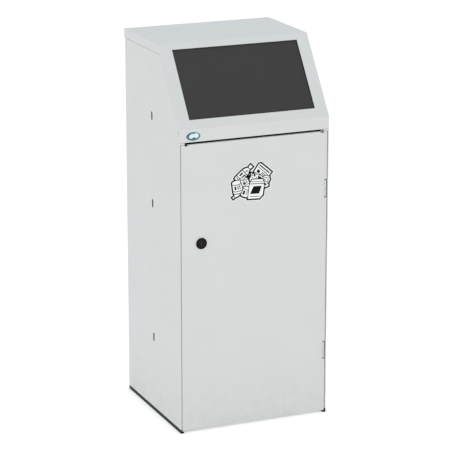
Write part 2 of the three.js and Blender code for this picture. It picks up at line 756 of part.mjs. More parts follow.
function bailHandle() {
  const half = handleSpan / 2;
  const foot = pivotZ - handleDrop;
  const at = (y, z) => [-pivotX, linerMiddle + y, z];
  return wire([
    at(-half - handleEndLength, pivotZ), at(-half, pivotZ), at(-half, foot),
    at(half, foot), at(half, pivotZ), at(half + handleEndLength, pivotZ),
  ], handleWireRadius, 12);
}

function handleBracket() {
  const wall = -linerHalf + linerWall + 0.05;
  const start = handleSpan / 2 + handleWireRadius + bracketEarGap;
  const reach = start + bracketThickness;
  const z = [pivotZ - bracketHeight / 2, pivotZ + bracketHeight / 2];
  const ear = (y0, y1) => box([wall, -pivotX + 2 * handleWireRadius],
    [linerMiddle + y0, linerMiddle + y1], z);
  const plate = box([wall, wall + bracketThickness],
    [linerMiddle - reach, linerMiddle + reach], z);
  const hole = bar([-pivotX, linerMiddle - width, pivotZ], [-pivotX, linerMiddle + width, pivotZ],
    holeRadius(handleWireRadius, handleHoleClearance, 12), 12);
  return join(plate, ear(start, reach), ear(-reach, -start)).subtract(hole);
}

add('waste_liner', wasteLiner(), zinc);
addPair('liner_handle', bailHandle(), zinc);
addPair('handle_bracket', handleBracket(), zinc);

export default cabinet;
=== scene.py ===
"""Looks of the recyclables collector cabinet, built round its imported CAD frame. Metres."""

import json
import math

import bmesh
import bpy
from mathutils import Matrix, Vector
from mathutils.geometry import delaunay_2d_cdt


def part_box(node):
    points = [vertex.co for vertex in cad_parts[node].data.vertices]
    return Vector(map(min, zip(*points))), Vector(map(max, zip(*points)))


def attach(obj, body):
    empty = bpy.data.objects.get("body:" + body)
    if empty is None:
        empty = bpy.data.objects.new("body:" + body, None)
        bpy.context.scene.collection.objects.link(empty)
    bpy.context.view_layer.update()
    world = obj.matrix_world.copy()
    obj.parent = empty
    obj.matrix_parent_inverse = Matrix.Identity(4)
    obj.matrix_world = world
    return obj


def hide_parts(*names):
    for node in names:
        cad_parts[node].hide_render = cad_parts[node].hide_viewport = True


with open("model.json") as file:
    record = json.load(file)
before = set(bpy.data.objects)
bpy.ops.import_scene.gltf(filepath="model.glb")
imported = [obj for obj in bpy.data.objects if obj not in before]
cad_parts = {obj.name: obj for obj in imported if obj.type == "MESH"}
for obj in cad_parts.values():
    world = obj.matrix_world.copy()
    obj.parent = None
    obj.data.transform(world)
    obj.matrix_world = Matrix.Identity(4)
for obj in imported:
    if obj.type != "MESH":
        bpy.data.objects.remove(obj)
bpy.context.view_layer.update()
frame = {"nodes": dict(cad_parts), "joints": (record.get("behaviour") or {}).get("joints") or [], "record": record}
scene = bpy.context.scene

NODE_BODY = {n: b for b, ns in frame["record"]["behaviour"]["bodies"].items() for n in ns}
NODE_SLOT = {s["node"]: s["material_slot"] for s in frame["record"]["subparts"]}
JOINTS = {j["name"]: j for j in frame["joints"]}
MM = 0.001
SLOPE_UP = Vector((0, 131, 182)).normalized()  # up the hood's sloping face

# ---- camera, light and floor ------------------------------------------------------
AIM = Vector((0.0035, 0.0, 0.4553))
CAMERA_DISTANCE = 5.4637
CAMERA_YAW = 23.2326  # the camera stands to the left of the front
CAMERA_PITCH = 15.749
LENS = 174.26

WORLD_STRENGTH = 0.82
SKY_LIFT = 0.25  # how much brighter the bare sky is seen than it lights
FLOOR_GLOW = 0.34
FLOOR_HALF = 60


def add_camera():
    yaw, pitch = math.radians(CAMERA_YAW), math.radians(CAMERA_PITCH)
    look = Vector((
        math.sin(yaw) * math.cos(pitch), math.cos(yaw) * math.cos(pitch), -math.sin(pitch)))
    data = bpy.data.cameras.new("camera")
    data.lens = LENS
    data.sensor_width = 36
    data.clip_end = 100
    camera = bpy.data.objects.new("camera", data)
    camera.location = AIM - look * CAMERA_DISTANCE
    camera.rotation_euler = (math.pi / 2 - pitch, 0, -yaw)
    scene.collection.objects.link(camera)
    scene.camera = camera


def add_light(name, place, aim, size, power, color=(1, 1, 1)):
    data = bpy.data.lights.new(name, "AREA")
    data.shape = "DISK"
    data.size = size
    data.energy = power
    data.color = color
    light = bpy.data.objects.new(name, data)
    light.location = place
    light.rotation_euler = (Vector(aim) - Vector(place)).to_track_quat("-Z", "Y").to_euler()
    scene.collection.objects.link(light)


def add_studio():
    world = bpy.data.worlds.new("studio")
    world.use_nodes = True
    sky = world.node_tree.nodes["Background"]
    sky.inputs["Color"].default_value = (0.97, 0.98, 1.0, 1)
    rays = world.node_tree.nodes.new("ShaderNodeLightPath")
    strength = world.node_tree.nodes.new("ShaderNodeMath")
    strength.operation = "MULTIPLY_ADD"
    strength.inputs[1].default_value = SKY_LIFT
    strength.inputs[2].default_value = WORLD_STRENGTH
    world.node_tree.links.new(rays.outputs["Is Camera Ray"], strength.inputs[0])
    world.node_tree.links.new(strength.outputs[0], sky.inputs["Strength"])
    scene.world = world
    scene.view_settings.view_transform = "Standard"

    mesh = bpy.data.meshes.new("floor")
    far = FLOOR_HALF
    mesh.from_pydata(
        [(-far, -far, 0), (far, -far, 0), (far, far, 0), (-far, far, 0)], [], [(0, 1, 2, 3)])
    floor = bpy.data.objects.new("floor", mesh)
    scene.collection.objects.link(floor)
    material = bpy.data.materials.new("pale_floor")
    material.use_nodes = True
    shader = material.node_tree.nodes["Principled BSDF"]
    shader.inputs["Base Color"].default_value = (0.86, 0.86, 0.86, 1)
    shader.inputs["Roughness"].default_value = 0.9
    shader.inputs["Specular IOR Level"].default_value = 0.0
    shader.inputs["Emission Color"].default_value = (1, 1, 1, 1)
    shader.inputs["Emission Strength"].default_value = FLOOR_GLOW
    mesh.materials.append(material)

    add_light("key", (-0.8, -4.2, 2.6), (0, 0, 0.6), 2.4, 26, (1.0, 0.995, 0.98))
    add_light("side", (-4.2, 0.6, 0.9), (0, 0, 0.3), 2.2, 9, (0.75, 0.93, 1.0))
    add_light("top", (0.4, 0.4, 3.4), (0, 0, 0.9), 2.4, 13, (0.62, 0.76, 1.0))


# ---- materials --------------------------------------------------------------------
class Finish:
    """A node material on object coordinates, which are the frame's own metres."""

    def __init__(self, name, color, roughness, metallic=0.0, specular=0.5):
        self.material = bpy.data.materials.new(name)
        self.material.use_nodes = True
        self.tree = self.material.node_tree
        self.shader = self.tree.nodes["Principled BSDF"]
        self.shader.inputs["Base Color"].default_value = (*color, 1)
        self.shader.inputs["Roughness"].default_value = roughness
        self.shader.inputs["Metallic"].default_value = metallic
        self.shader.inputs["Specular IOR Level"].default_value = specular
        self.color = color
        self.coords = self.tree.nodes.new("ShaderNodeTexCoord").outputs["Object"]

    def link(self, source, target):
        self.tree.links.new(source, target)

    def noise(self, scale, detail=2.0, stretch=(1, 1, 1)):
        node = self.tree.nodes.new("ShaderNodeTexNoise")
        node.inputs["Scale"].default_value = scale
        node.inputs["Detail"].default_value = detail
        where = self.coords
        if stretch != (1, 1, 1):
            mapping = self.tree.nodes.new("ShaderNodeMapping")
            mapping.inputs["Scale"].default_value = stretch
            self.link(self.coords, mapping.inputs["Vector"])
            where = mapping.outputs["Vector"]
        self.link(where, node.inputs["Vector"])
        return node.outputs["Fac"]

    def cells(self, scale):
        node = self.tree.nodes.new("ShaderNodeTexVoronoi")
        node.inputs["Scale"].default_value = scale
        self.link(self.coords, node.inputs["Vector"])
        split = self.tree.nodes.new("ShaderNodeSeparateColor")
        self.link(node.outputs["Color"], split.inputs["Color"])
        return split.outputs["Red"], split.outputs["Green"]

    def spread(self, value, low, high, start=0.3, end=0.7):
        node = self.tree.nodes.new("ShaderNodeMapRange")
        node.inputs["From Min"].default_value = start
        node.inputs["From Max"].default_value = end
        node.inputs["To Min"].default_value = low
        node.inputs["To Max"].default_value = high
        self.link(value, node.inputs["Value"])
        return node.outputs["Result"]

    def height(self):
        split = self.tree.nodes.new("ShaderNodeSeparateXYZ")
        self.link(self.coords, split.inputs["Vector"])
        return split.outputs["Z"]

    def times(self, a, b):
        node = self.tree.nodes.new("ShaderNodeMath")
        node.operation = "MULTIPLY"
        self.link(a, node.inputs[0])
        self.link(b, node.inputs[1])
        return node.outputs["Value"]

    def tint(self, share, color):
        """Mixes a colour into the base colour by share."""
        node = self.tree.nodes.new("ShaderNodeMix")
        node.data_type = "RGBA"
        base = self.shader.inputs["Base Color"]
        if base.links:
            self.link(base.links[0].from_socket, node.inputs["A"])
        else:
            node.inputs["A"].default_value = base.default_value
        node.inputs["B"].default_value = (*color, 1)
        self.link(share, node.inputs["Factor"])
        self.link(node.outputs["Result"], base)
        return self

    def gloss(self, value):
        self.link(value, self.shader.inputs["Roughness"])
        return self

    def relief(self, value, depth):
        """Bumps the surface by so many metres, on top of any relief that it has."""
        node = self.tree.nodes.new("ShaderNodeBump")
        node.inputs["Strength"].default_value = 1.0
        node.inputs["Distance"].default_value = depth
        self.link(value, node.inputs["Height"])
        normal = self.shader.inputs["Normal"]
        if normal.links:
            self.link(normal.links[0].from_socket, node.inputs["Normal"])
        self.link(node.outputs["Normal"], normal)
        return self


def shade(color, factor):
    return tuple(min(1.0, c * factor) for c in color)


def powder_coat(name, color, roughness, darker_towards_bottom, specular=0.5):
    f = Finish(name, color, roughness, specular=specular)
    f.tint(f.spread(f.noise(9, 3), 0, 0.5), shade(color, 0.965))
    f.tint(f.spread(f.noise(420, 3), 0, 0.5, 0.52, 0.72), shade(color, 0.92))
    # Darker towards the bottom, in noisy patches over the lowest 0.16 m of the piece.
    if darker_towards_bottom:
        low = f.spread(f.height(), 1, 0, 0.0, 0.16)
        f.tint(f.times(low, f.spread(f.noise(34, 6), 0.1, 0.75, 0.35, 0.75)), shade(color, 0.86))
    f.gloss(f.spread(f.noise(60, 4), roughness - 0.05, roughness + 0.07))
    f.relief(f.noise(210, 2), 0.00005)
    f.relief(f.noise(900, 3), 0.00003)
    return f.material


def metal(name, color, roughness, stretch=(1, 1, 1)):
    f = Finish(name, color, roughness, 1.0)
    f.tint(f.spread(f.noise(160, 5, stretch), 0, 0.8), shade(color, 0.78))
    f.gloss(f.spread(f.noise(240, 4, stretch), roughness - 0.07, roughness + 0.1))
    f.relief(f.noise(700, 3, stretch), 0.00002)
    return f.material


def galvanised(name):
    color = (0.56, 0.58, 0.59)
    f = Finish(name, color, 0.42, 1.0)
    tone, shine = f.cells(70)
    f.tint(f.spread(tone, 0, 0.75, 0, 1), (0.38, 0.40, 0.42))
    f.tint(f.spread(f.noise(300, 4), 0, 0.35), (0.70, 0.71, 0.72))
    f.gloss(f.spread(shine, 0.30, 0.52, 0, 1))
    f.relief(tone, 0.00002)
    f.relief(f.noise(260, 4), 0.00002)
    return f.material


def moulded(name, color, roughness, grain, depth, specular=0.5):
    f = Finish(name, color, roughness, specular=specular)
    f.tint(f.spread(f.noise(55, 4), 0, 0.7), tuple(c * 1.5 + 0.006 for c in color))
    f.gloss(f.spread(f.noise(130, 3), roughness - 0.06, roughness + 0.08))
    f.relief(f.noise(grain, 3), depth)
    return f.material


def film(name, color, roughness, specular=0.5):
    f = Finish(name, color, roughness, specular=specular)
    f.tint(f.spread(f.noise(45, 3), 0, 0.6), shade(color, 0.94))
    f.gloss(f.spread(f.noise(90, 3), roughness - 0.05, roughness + 0.08))
    f.relief(f.noise(150, 2), 0.00002)
    return f.material


def resin(name, color):
    f = Finish(name, color, 0.28)
    f.tint(f.spread(f.noise(320, 3), 0, 0.6), shade(color, 0.75))
    f.shader.inputs["Coat Weight"].default_value = 0.8
    f.shader.inputs["Coat Roughness"].default_value = 0.06
    f.relief(f.noise(80, 1), 0.00002)
    return f.material


PAINT = powder_coat("light_grey_powder_coat", (0.642, 0.655, 0.634), 0.46, True)
FLAP_PAINT = powder_coat("anthracite_powder_coat", (0.034, 0.033, 0.032), 0.42, False, 0.3)
BLACK_PLASTIC = moulded("black_moulding", (0.003, 0.003, 0.004), 0.42, 1100, 0.00003, 0.12)
PLUG_FACE = moulded("black_plug_face", (0.002, 0.002, 0.002), 0.36, 1500, 0.00002, 0.12)
RUBBER = moulded("black_rubber", (0.012, 0.012, 0.012), 0.8, 800, 0.00006)
NYLON = moulded("natural_nylon", (0.74, 0.72, 0.66), 0.5, 600, 0.00003)
PLUG_METAL = metal("dark_nickel", (0.085, 0.085, 0.085), 0.36)
ZINC = metal("zinc_plated_steel", (0.52, 0.54, 0.56), 0.38)
ROD = metal("drawn_steel_rod", (0.50, 0.51, 0.52), 0.30, (0.04, 1, 1))
SPRING = metal("spring_steel", (0.28, 0.28, 0.29), 0.34)
GALVANISED = galvanised("galvanised_sheet")
FILM_WHITE = film("white_film", (0.87, 0.88, 0.87), 0.34)
FILM_BLACK = film("black_print", (0.002, 0.002, 0.003), 0.45, 0.1)
TEAL = resin("teal_resin", (0.006, 0.115, 0.135))
MINT = resin("mint_resin", (0.68, 0.86, 0.87))

SLOT_MATERIAL = {
    "paint": PAINT, "flap_paint": FLAP_PAINT, "black_plastic": BLACK_PLASTIC, "rubber": RUBBER,
    "nylon": NYLON, "nickel": PLUG_METAL, "zinc_steel": ZINC, "spring_steel": SPRING,
    "galvanised": GALVANISED, "label_film": FILM_WHITE, "badge_plastic": TEAL,
}


# ---- pieces -----------------------------------------------------------------------
def piece(name, mesh, body, materials, replaces=()):
    obj = bpy.data.objects.new(name, mesh)
    scene.collection.objects.link(obj)
    for material in materials:
        mesh.materials.append(material)
    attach(obj, body)
    if replaces:
        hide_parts(*replaces)
    return obj


def mesh_of(name, bm):
    mesh = bpy.data.meshes.new(name)
    bmesh.ops.recalc_face_normals(bm, faces=bm.faces)
    bm.to_mesh(mesh)
    bm.free()
    return mesh


def band(bm, a, b, slot=0):
    """Quads between two closed rings of as many vertices each."""
    for k, (v, w) in enumerate(zip(a, b)):
        m = (k + 1) % len(a)
        bm.faces.new((v, a[m], b[m], w)).material_index = slot


def smooth(mesh, angle=40):
    for polygon in mesh.polygons:
        polygon.use_smooth = True
    mesh.set_sharp_from_angle(angle=math.radians(angle))


def settle(obj):
    """Applies the piece's modifiers to its mesh."""
    graph = bpy.context.evaluated_depsgraph_get()
    made = bpy.data.meshes.new_from_object(
        obj.evaluated_get(graph), preserve_all_data_layers=True, depsgraph=graph)
    old = obj.data
    obj.modifiers.clear()
    obj.data = made
    bpy.data.meshes.remove(old)
    made.name = obj.name


def rounded_node(node, edge=0.35, wide=1.2, is_wide=None, angle=33):
    """A copy of a CAD node with its sharp edges rounded over. Edges that is_wide picks get
    the wide radius. Sizes in millimetres."""
    bm = bmesh.new()
    bm.from_mesh(frame["nodes"][node].data)
    bmesh.ops.remove_doubles(bm, verts=bm.verts, dist=2e-6)
    bmesh.ops.dissolve_limit(
        bm, angle_limit=math.radians(0.6), verts=bm.verts, edges=bm.edges)
    weights = bm.edges.layers.float.new("bevel_weight_edge")
    for e in bm.edges:
        if len(e.link_faces) == 2 and e.calc_face_angle(0) > math.radians(angle):
            e[weights] = 1.0 if is_wide and is_wide(e) else edge / wide
    mesh = mesh_of(node + "_skin", bm)
    mesh.materials.clear()
    slot = NODE_SLOT[node]
    obj = piece(node + "_skin", mesh, NODE_BODY[node], [SLOT_MATERIAL[slot]], [node])
    for polygon in mesh.polygons:
        polygon.use_smooth = True
        polygon.material_index = 0
    bevel = obj.modifiers.new("edges", "BEVEL")
    bevel.limit_method = "WEIGHT"
    bevel.width = wide * MM
    bevel.segments = 3
    bevel.use_clamp_overlap = False
    bevel.miter_outer = "MITER_SHARP"
    normals = obj.modifiers.new("normals", "WEIGHTED_NORMAL")
    normals.mode = "FACE_AREA"
    normals.weight = 60
    settle(obj)
    return obj


def fillet(points, radii, steps=5):
    """Rounds the corners of an open 2-D line. radii holds one radius per inner corner."""
    out = [Vector(points[0])]
    for i in range(1, len(points) - 1):
        corner = Vector(points[i])
        radius = radii if isinstance(radii, (int, float)) else radii[i - 1]
        back = Vector(points[i - 1]) - corner
        ahead = Vector(points[i + 1]) - corner
        half = back.angle(ahead) / 2
        reach = min(radius / math.tan(half), 0.49 * back.length, 0.49 * ahead.length)
        if radius <= 0 or half > 1.56:
            out.append(corner)
            continue
        start, end = corner + back.normalized() * reach, corner + ahead.normalized() * reach
        for k in range(steps + 1):
            t = k / steps
            out.append((1 - t) ** 2 * start + 2 * t * (1 - t) * corner + t * t * end)
    out.append(Vector(points[-1]))
    return out


def lathe(name, profile, origin, axis, sides=64):
    """Turns a profile of (radius, height) points about an axis. A point on the axis closes
    that end, and a profile that ends where it began closes on itself."""
    bm = bmesh.new()
    turn = Vector(axis).to_track_quat("Z", "Y").to_matrix().to_4x4()
    place = Matrix.Translation(origin) @ turn
    closed = (Vector(profile[0]) - Vector(profile[-1])).length < 1e-9
    points = profile[:-1] if closed else profile
    rings = []
    for r, h in points:
        if r < 1e-7:
            rings.append([bm.verts.new(place @ Vector((0, 0, h)))])
            continue
        rings.append([
            bm.verts.new(place @ Vector((
                r * math.cos(2 * math.pi * k / sides), r * math.sin(2 * math.pi * k / sides), h)))
            for k in range(sides)])
    pairs = list(zip(rings, rings[1:])) + ([(rings[-1], rings[0])] if closed else [])
    for a, b in pairs:
        for k in range(sides):
            m = (k + 1) % sides
            corners = [a[k % len(a)], a[m % len(a)], b[m % len(b)], b[k % len(b)]]
            bm.faces.new(list(dict.fromkeys(corners)))
    return mesh_of(name, bm)


def sweep(name, points, radius, sides=14):
    """A closed round wire along a line of points."""
    bm = bmesh.new()
    line = [Vector(p) for p in points]
    side = None
    rings = []
    for i, p in enumerate(line):
        ahead = (line[min(i + 1, len(line) - 1)] - line[max(i - 1, 0)]).normalized()
        side = ahead.orthogonal() if side is None else side - ahead * side.dot(ahead)
        side.normalize()
        up = ahead.cross(side)
        rings.append([
            bm.verts.new(p + radius * (
                side * math.cos(2 * math.pi * k / sides) + up * math.sin(2 * math.pi * k / sides)))
            for k in range(sides)])
    for a, b in zip(rings, rings[1:]):
        band(bm, a, b)
    bm.faces.new(rings[0][::-1])
    bm.faces.new(rings[-1])
    return mesh_of(name, bm)


# ---- folded sheet metal -----------------------------------------------------------
door_lo, door_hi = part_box("door_panel")
front = door_lo.y


def door_fold(e):
    """The folds round the door's front face."""
    a, b = (v.co for v in e.verts)
    at_front = max(abs(a.y - front), abs(b.y - front)) < 1e-5
    on_rim = any(
        max(abs(a[i] - edge), abs(b[i] - edge)) < 1e-5
        for i, edge in ((0, door_lo.x), (0, door_hi.x), (2, door_lo.z), (2, door_hi.z)))
    return at_front and on_rim


def build_sheet_metal():
    rounded_node("hood", wide=0.6, edge=0.4)
    rounded_node("door_panel", is_wide=door_fold, wide=1.3)
    for node in (
        "left_side_panel", "right_side_panel", "left_door_stop", "right_door_stop",
        "rear_panel", "floor_pan", "door_stiffener", "left_pivot_bracket",
        "right_pivot_bracket", "inlet_flap", "waste_liner", "left_handle_bracket",
        "right_handle_bracket",
    ):
        rounded_node(node)
    for node in (
        "left_base_skid", "right_base_skid", "upper_hinge_cabinet_leaf",
        "lower_hinge_cabinet_leaf", "upper_hinge_door_leaf", "lower_hinge_door_leaf",
        "lock_nut", "lock_cam", "lock_cam_screw",
    ):
        rounded_node(node, edge=0.3)


# ---- turned pieces ----------------------------------------------------------------
def turned(node, profile, axis, material, sides=48, chamfer=0.3):
    """Replaces a round CAD node by a finely turned one. The profile is in millimetres,
    from the node's low end along the axis."""
    low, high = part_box(node)
    index = max(range(3), key=lambda i: abs(axis[i]))
    origin = (low + high) / 2
    origin[index] = low[index]
    mesh = lathe(node + "_turned", [(r * MM, h * MM) for r, h in fillet(profile, chamfer)],
        origin, axis, sides)
    smooth(mesh)
    return piece(node + "_turned", mesh, NODE_BODY[node], [material], [node])


def tube_profile(outer, inner, length):
    middle = (outer + inner) / 2
    return [(middle, 0), (outer, 0), (outer, length), (inner, length), (inner, 0), (middle, 0)]


def rod_profile(radius, length):
    return [(0, 0), (radius, 0), (radius, length), (0, length)]


def length_mm(node, index):
    low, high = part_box(node)
    return (high[index] - low[index]) / MM


def build_turned():
    x = (1, 0, 0)
    z = (0, 0, 1)
    rod_radius, pin_radius = 3, 1.5
    bush_outer, bush_bore = 5, 3.24
    collar_outer, collar_bore = 6, 3.09
    turned("flap_pivot_rod", rod_profile(rod_radius, length_mm("flap_pivot_rod", 0)), x, ROD)
    for side in ("left", "right"):
        bush, collar = side + "_pivot_bush", side + "_spring_collar"
        turned(bush, tube_profile(bush_outer, bush_bore, length_mm(bush, 0)), x, NYLON,
            chamfer=0.4)
        turned(collar, tube_profile(collar_outer, collar_bore, length_mm(collar, 0)), x, ZINC,
            chamfer=0.5)
    for place in ("upper", "lower"):
        pin = place + "_hinge_pin"
        turned(pin, rod_profile(pin_radius, length_mm(pin, 2)), z, ZINC)


def build_pads():
    """Rubber domes on the door stop, and rubber discs behind the inlet's foot."""
    for place in ("upper", "lower"):
        node = place + "_door_pad"
        low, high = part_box(node)
        tall = (high.y - low.y) / MM
        wide = (high.x - low.x) / 2 / MM
        profile = [(0, 0), (wide, 0), (wide, 0.3 * tall), (0.8 * wide, 0.82 * tall), (0, tall)]
        origin = Vector(((low.x + high.x) / 2, high.y, (low.z + high.z) / 2))
        mesh = lathe(node + "_dome", [(r * MM, h * MM) for r, h in fillet(profile, 0.8)],
            origin, (0, -1, 0), 40)
        smooth(mesh)
        piece(node + "_dome", mesh, "cabinet", [RUBBER], [node])
    for side in ("left", "right"):
        rounded_node(side + "_flap_pad", edge=0.25, angle=50)


# ---- lock -------------------------------------------------------------------------
def build_lock():
    centre = Vector(JOINTS["lock_turn"]["pos_m"])
    rear = (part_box("lock_rosette")[1].y - front) / MM
    proud = (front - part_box("lock_rosette")[0].y) / MM
    out = (0, -1, 0)
    thread = []
    pitch = 1.0
    turns = int((rear - 1.8) / pitch)
    for k in range(turns):
        thread += [(10.55, -1.8 - k * pitch), (11.0, -1.8 - (k + 0.5) * pitch)]
    bore = 8.84
    profile = [
        (bore, -rear), (bore, proud - 0.7), (bore + 0.5, proud - 0.15), (10.1, proud - 0.12),
        (10.6, proud - 0.5), (11.4, proud - 0.5), (11.8, proud), (12.3, proud),
        (13.3, proud - 0.7), (13.95, 0.5), (14.0, 0), (11.0, 0), *thread, (10.4, -rear),
        (bore, -rear),
    ]
    mesh = lathe("lock_rosette_turned", [(r * MM, h * MM) for r, h in profile],
        centre, out, 96)
    smooth(mesh, 34)
    piece("lock_rosette_turned", mesh, "door", [BLACK_PLASTIC], ["lock_rosette"])

    low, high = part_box("lock_plug")
    face = (front - low.y) / MM
    back = (front - high.y) / MM
    body = fillet([
        (0, back), (8.4, back), (8.6, back + 0.4), (8.6, face - 0.7), (8.1, face), (7.5, face),
        (7.3, face - 0.9), (0, face - 0.9),
    ], 0.1, 2)
    mesh = lathe("lock_plug_turned", [(r * MM, h * MM) for r, h in body], centre, out, 96)
    smooth(mesh, 34)
    piece("lock_plug_turned", mesh, "lock", [PLUG_METAL], ["lock_plug"])
    build_key_face(centre, face)


def build_key_face(centre, face):
    """The black face of the plug, with the key slot as a real opening and a shutter in it."""
    sides = 72
    slot_half, slot_round = 3.75, 1.1
    bm = bmesh.new()

    def ring(shape, height):
        return [
            bm.verts.new(centre + Vector((x * MM, -height * MM, z * MM)))
            for x, z in (shape(2 * math.pi * k / sides) for k in range(sides))]

    def disc(radius):
        return lambda a: (radius * math.cos(a), radius * math.sin(a))

    def slot(radius):
        straight = slot_half - slot_round
        return lambda a: (
            radius * math.cos(a), radius * math.sin(a) + math.copysign(straight, math.sin(a)))

    rings = [
        ring(disc(7.25), face - 1.2), ring(disc(7.25), face - 0.35), ring(disc(6.9), face - 0.1),
        ring(disc(5.6), face - 0.05), ring(slot(slot_round + 0.35), face - 0.3),
        ring(slot(slot_round), face - 0.6), ring(slot(slot_round), face - 2.6),
        ring(slot(0.25), face - 2.7),
    ]
    for a, b in zip(rings, rings[1:]):
        band(bm, a, b)
    bm.faces.new(rings[-1])
    bm.faces.new(rings[0][::-1])
    mesh = mesh_of("lock_plug_face", bm)
    smooth(mesh, 32)
    piece("lock_plug_face", mesh, "lock", [PLUG_FACE])


# ---- springs and handles ----------------------------------------------------------
def build_springs():
    """Wire wound round the pivot rod, with a leg down the back of the flap."""
    pivot = Vector(JOINTS["flap_hinge"]["pos_m"])
    deep = Vector((0, SLOPE_UP.z, -SLOPE_UP.y))
    wire = 0.85 * MM
    radius = 5.6 * MM - wire
    leg_offset = -2.9 * MM  # towards the flap, from the pivot axis
    leg_length = 52 * MM
    turns, steps = 12, 20
    for side, sign in (("left", -1), ("right", 1)):
        node = side + "_flap_spring"
        low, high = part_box(node)
        inner, outer = sorted((abs(low.x), abs(high.x)))
        run = outer - inner - 2 * wire
        first = 2 * math.pi - math.acos(leg_offset / radius)

        def on_coil(k):
            a = first - 2 * math.pi * k / steps
            x = sign * (inner + wire + run * k / (turns * steps))
            return (Vector((x, pivot.y, pivot.z))
                + radius * (deep * math.cos(a) + SLOPE_UP * math.sin(a)))

        coil = [on_coil(k) for k in range(turns * steps + 1)]
        foot = Vector((coil[0].x, pivot.y, pivot.z)) + deep * leg_offset
        leg = [foot - SLOPE_UP * leg_length * share for share in (1, 0.75, 0.5, 0.25, 0.14)]
        mesh = sweep(node + "_wire", leg + coil, wire, 10)
        smooth(mesh)
        piece(node + "_wire", mesh, "flap", [SPRING], [node])


def build_handles():
    for side in ("left", "right"):
        node = side + "_liner_handle"
        low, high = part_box(node)
        wire = (high.x - low.x) / 2
        x = (low.x + high.x) / 2
        top, foot = high.z - wire, low.z + wire
        arm = 9 * MM
        y0, y1 = low.y, high.y
        corners = [(y0, top), (y0 + arm, top), (y0 + arm, foot), (y1 - arm, foot),
            (y1 - arm, top), (y1, top)]
        line = fillet(corners, [3.5 * MM, 8 * MM, 8 * MM, 3.5 * MM], 8)
        mesh = sweep(node + "_wire", [(x, y, z) for y, z in line], wire, 20)
        smooth(mesh)
        piece(node + "_wire", mesh, NODE_BODY[node], [ZINC], [node])


# ---- badge ------------------------------------------------------------------------
def build_badge():
    """A blank oval badge: a teal field with two pale leaves raised on it."""
    low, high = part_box("oval_badge")
    centre = (low + high) / 2
    a, b = (high.x - low.x) / 2, (high.z - low.z) / 2
    thick = high.y - low.y
    sides = 72
    bm = bmesh.new()

    def plate(spot, half, rings, turn, slot):
        """Stacked ovals, each a share of the half axes and a share of the thickness."""
        made = []
        for share, height in rings:
            ring = []
            for k in range(sides):
                t = 2 * math.pi * k / sides
                x, z = share * half[0] * math.cos(t), share * half[1] * math.sin(t)
                ring.append(bm.verts.new((
                    centre.x + spot[0] + x * math.cos(turn) - z * math.sin(turn),
                    high.y - thick * height,
                    centre.z + spot[1] + x * math.sin(turn) + z * math.cos(turn))))
            made.append(ring)
        for p, q in zip(made, made[1:]):
            band(bm, p, q, slot)
        bm.faces.new(made[-1]).material_index = slot
        bm.faces.new(made[0][::-1]).material_index = slot

    plate((0, 0), (a, b), [(1, 0), (1, 0.35), (0.97, 0.55), (0.9, 0.62)], 0, 0)
    leaf = [(1, 0.6), (0.97, 0.85), (0.85, 0.96), (0.6, 1.0)]
    plate((-0.24 * a, 0.10 * b), (0.42 * a, 0.52 * b), leaf, 0.5, 1)
    plate((0.40 * a, 0.16 * b), (0.40 * a, 0.58 * b), leaf, -0.4, 1)
    mesh = mesh_of("oval_badge_leaves", bm)
    smooth(mesh, 30)
    piece("oval_badge_leaves", mesh, "cabinet", [TEAL, MINT], ["oval_badge"])


# ---- pictogram label --------------------------------------------------------------
FILM_MARGIN = 6.4  # white beyond the items, in the drawing's millimetres
CONTOUR = 4.4  # black line round the whole pile
OUTLINE = 2.3  # black line round each item
FILM_SHARE = 0.98  # share of the label's plate that the drawing takes up
FILM_STANDOFF = 0.00002  # between the back of the film and the door


def grown(points, by):
    """A closed outline moved outwards by a distance. The outline runs anticlockwise."""
    out = []
    count = len(points)
    for i, p in enumerate(points):
        before = (Vector(p) - Vector(points[i - 1])).normalized()
        after = (Vector(points[(i + 1) % count]) - Vector(p)).normalized()
        n0, n1 = Vector((before.y, -before.x)), Vector((after.y, -after.x))
        middle = n0 + n1
        middle = middle.normalized() if middle.length > 1e-6 else n0
        out.append(Vector(p) + middle * min(by / max(middle.dot(n0), 0.35), 2.2 * by))
    return out


def placed(points, at, turn, scale):
    """An outline turned, scaled and moved. The turn is in degrees."""
    c, s = math.cos(math.radians(turn)), math.sin(math.radians(turn))
    return [Vector((
        at[0] + scale * (x * c - y * s), at[1] + scale * (x * s + y * c))) for x, y in points]


def stroke(points, width):
    """A closed band along an open line."""
    left, right = [], []
    for i, p in enumerate(points):
        ahead = (Vector(points[min(i + 1, len(points) - 1)])
            - Vector(points[max(i - 1, 0)])).normalized()
        normal = Vector((-ahead.y, ahead.x)) * width / 2
        left.append(Vector(p) + normal)
        right.append(Vector(p) - normal)
    return right + left[::-1]


def wound(points):
    """The same outline, running anticlockwise."""
    area = sum(
        points[i - 1][0] * p[1] - p[0] * points[i - 1][1] for i, p in enumerate(points))
    return points if area > 0 else points[::-1]


def arc(at, rx, ry, start, end, steps=10):
    return [
        (at[0] + rx * math.cos(math.radians(start + (end - start) * k / steps)),
         at[1] + ry * math.sin(math.radians(start + (end - start) * k / steps)))
        for k in range(steps + 1)]


